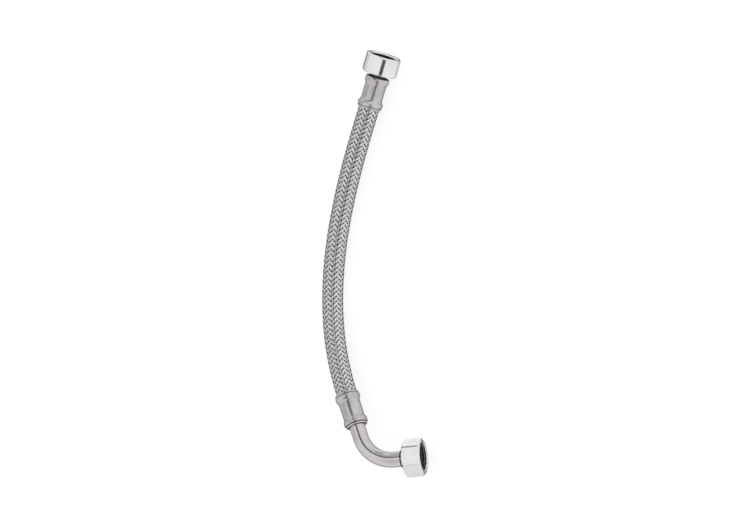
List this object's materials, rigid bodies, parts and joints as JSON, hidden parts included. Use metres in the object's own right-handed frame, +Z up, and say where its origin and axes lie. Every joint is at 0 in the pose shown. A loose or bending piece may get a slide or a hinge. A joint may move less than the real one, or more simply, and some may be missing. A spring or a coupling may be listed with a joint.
{
  "type": "braided supply line",
  "caption": "Short flexible water connector: wire-braided hose with crimped ferrules, a straight swivel nut on one end and a bent tube with a swivel nut on the other.",
  "frame": {"origin": "centre of the bounding box, on the surface the line lies on", "axes": "+Y along the line from the bent end to the straight end, +X towards the bent tube's nut, +Z up off the surface it lies on"},
  "size_m": [0.0786, 0.3036, 0.0263],
  "materials": {
    "polished_nut": "polished nickel-chrome plate on brass",
    "satin_steel": "satin stainless steel",
    "braid_wire": "drawn stainless wire, woven",
    "liner": "black EPDM rubber",
    "brass": "turned brass",
    "seal": "black sealing rubber"
  },
  "bodies": {
    "lower_end": {"lower_ferrule": "satin_steel", "lower_insert": "satin_steel", "elbow_tube": "satin_steel", "elbow_collar": "satin_steel", "braid_lower": "braid_wire", "liner_lower": "liner"},
    "upper_end": {"upper_ferrule": "satin_steel", "upper_insert": "brass", "braid_upper": "braid_wire", "liner_upper": "liner"},
    "upper_seal": {"upper_washer": "seal"},
    "upper_swivel": {"upper_nut": "polished_nut"},
    "lower_seal": {"lower_washer": "seal"},
    "lower_swivel": {"lower_nut": "polished_nut"}
  },
  "joints": [
    {"name": "hose_flex", "type": "hinge", "parent": "lower_end", "child": "upper_end", "pos_m": [-0.02452, 0.02116, 0.00754], "axis": [0, 0, 1], "range_deg": [-60, 40], "stiffness_Nm_per_rad": 0.05},
    {"name": "upper_nut_spin", "type": "hinge", "parent": "upper_end", "child": "upper_seal", "pos_m": [0.02164, 0.13471, 0.012], "axis": [0.4149, 0.9087, 0.0462], "continuous": true},
    {"name": "upper_nut_slide", "type": "slide", "parent": "upper_seal", "child": "upper_swivel", "axis": [0.4149, 0.9087, 0.0462], "range_m": [-0.0018, 0]},
    {"name": "lower_nut_spin", "type": "hinge", "parent": "lower_end", "child": "lower_seal", "pos_m": [0.01845, -0.13797, 0.01452], "axis": [0.9796, 0.0002, -0.2008], "continuous": true},
    {"name": "lower_nut_slide", "type": "slide", "parent": "lower_seal", "child": "lower_swivel", "axis": [0.9796, 0.0002, -0.2008], "range_m": [-0.007, 0]}
  ]
}
